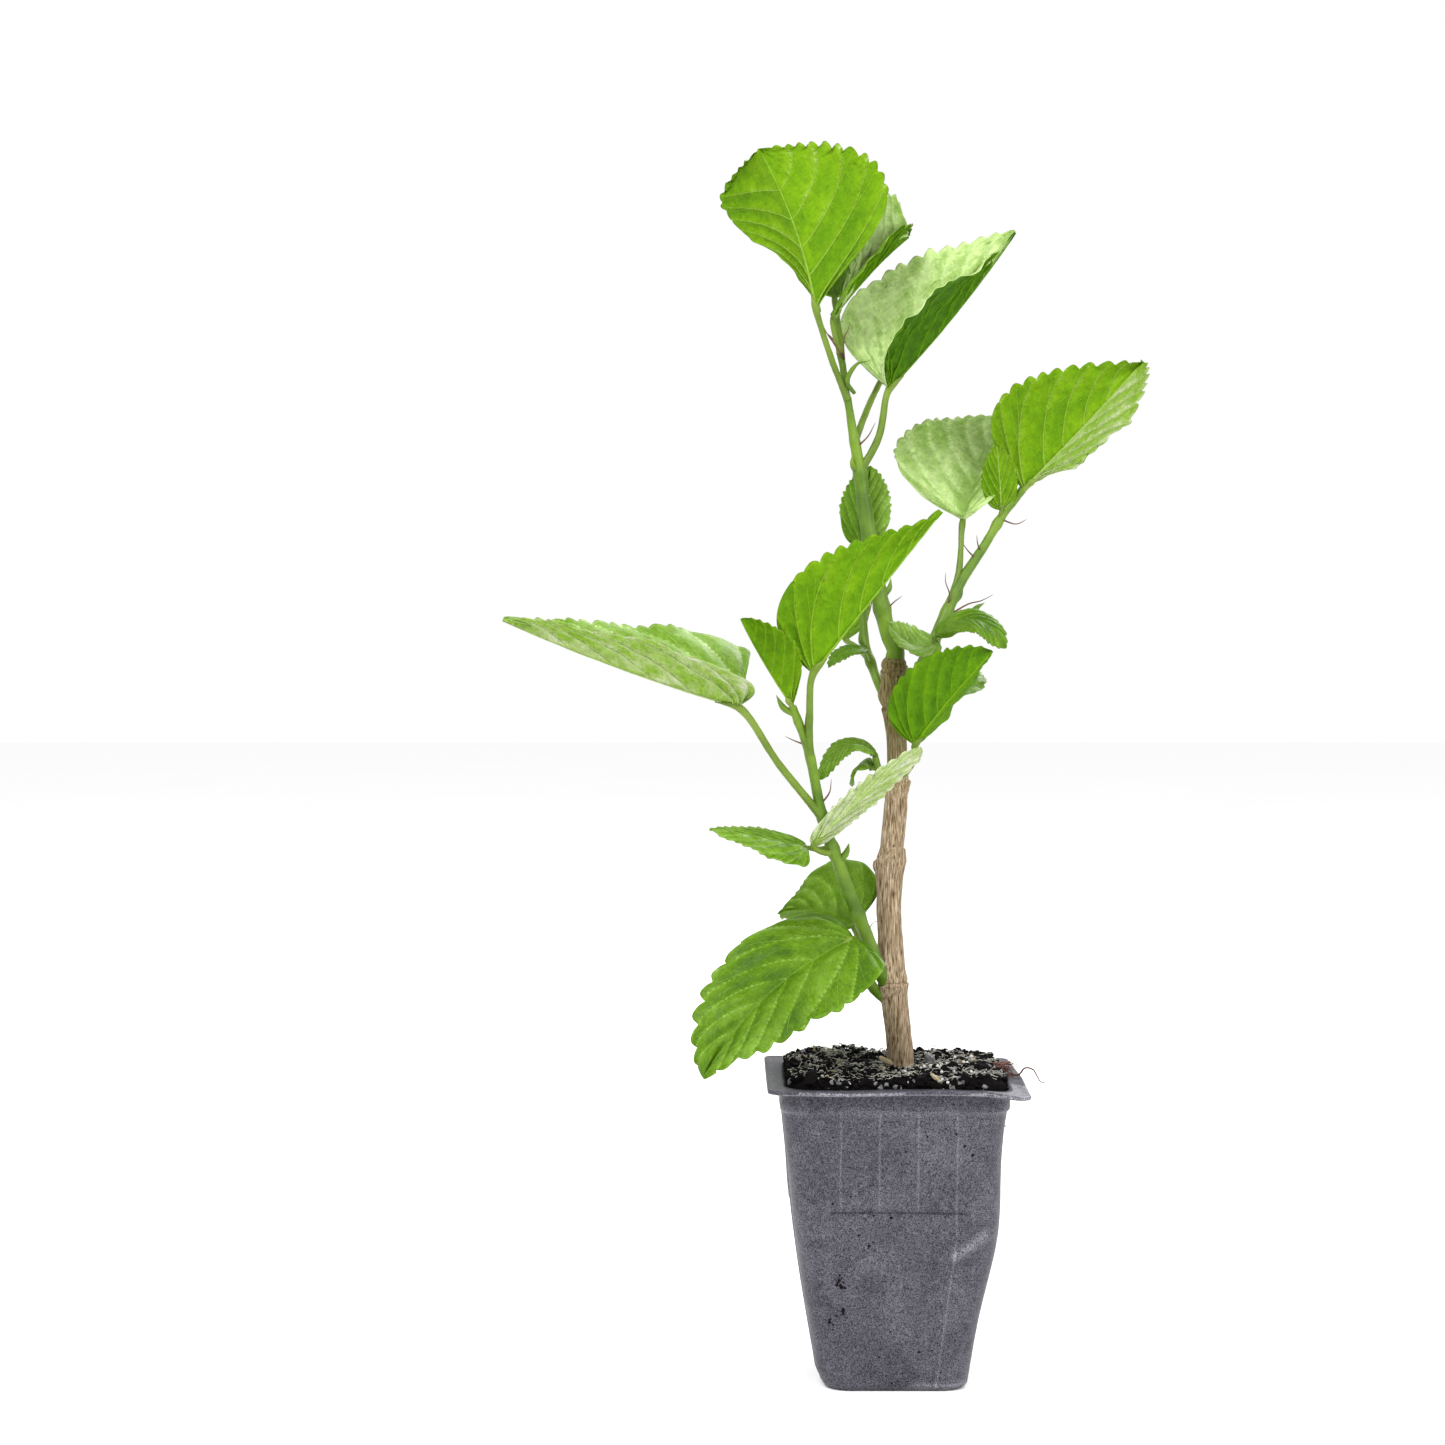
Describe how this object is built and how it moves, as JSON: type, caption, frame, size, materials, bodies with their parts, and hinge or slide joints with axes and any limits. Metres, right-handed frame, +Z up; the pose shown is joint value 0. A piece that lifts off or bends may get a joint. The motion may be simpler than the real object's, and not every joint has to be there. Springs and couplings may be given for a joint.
{
  "type": "potted shrub",
  "caption": "Young hibiscus shrub with a woody stem, leafy green branches and toothed leaves, growing in a square tapered nursery pot.",
  "frame": {"origin": "centre of the pot's flat underside, where it stands on the floor", "axes": "+Z up along the pot's upright axis, -Y towards the front that the picture shows, +X to that view's right"},
  "size_m": [0.2257, 0.1492, 0.4288],
  "materials": {
    "pot_plastic": "satin",
    "potting_soil": "matte",
    "bark": "matte",
    "green_shoot": "satin",
    "leaf": "satin"
  },
  "bodies": {
    "root": {"pot": "pot_plastic", "soil": "potting_soil", "trunk": "bark", "bough_leader": "green_shoot", "bough_left": "green_shoot", "bough_right": "green_shoot", "foliage_top": "leaf", "foliage_right": "leaf", "foliage_left": "leaf", "foliage_low": "leaf", "foliage_spur": "leaf", "foliage_side": "leaf", "foliage_front": "leaf", "foliage_fork": "leaf"}
  },
  "joints": []
}
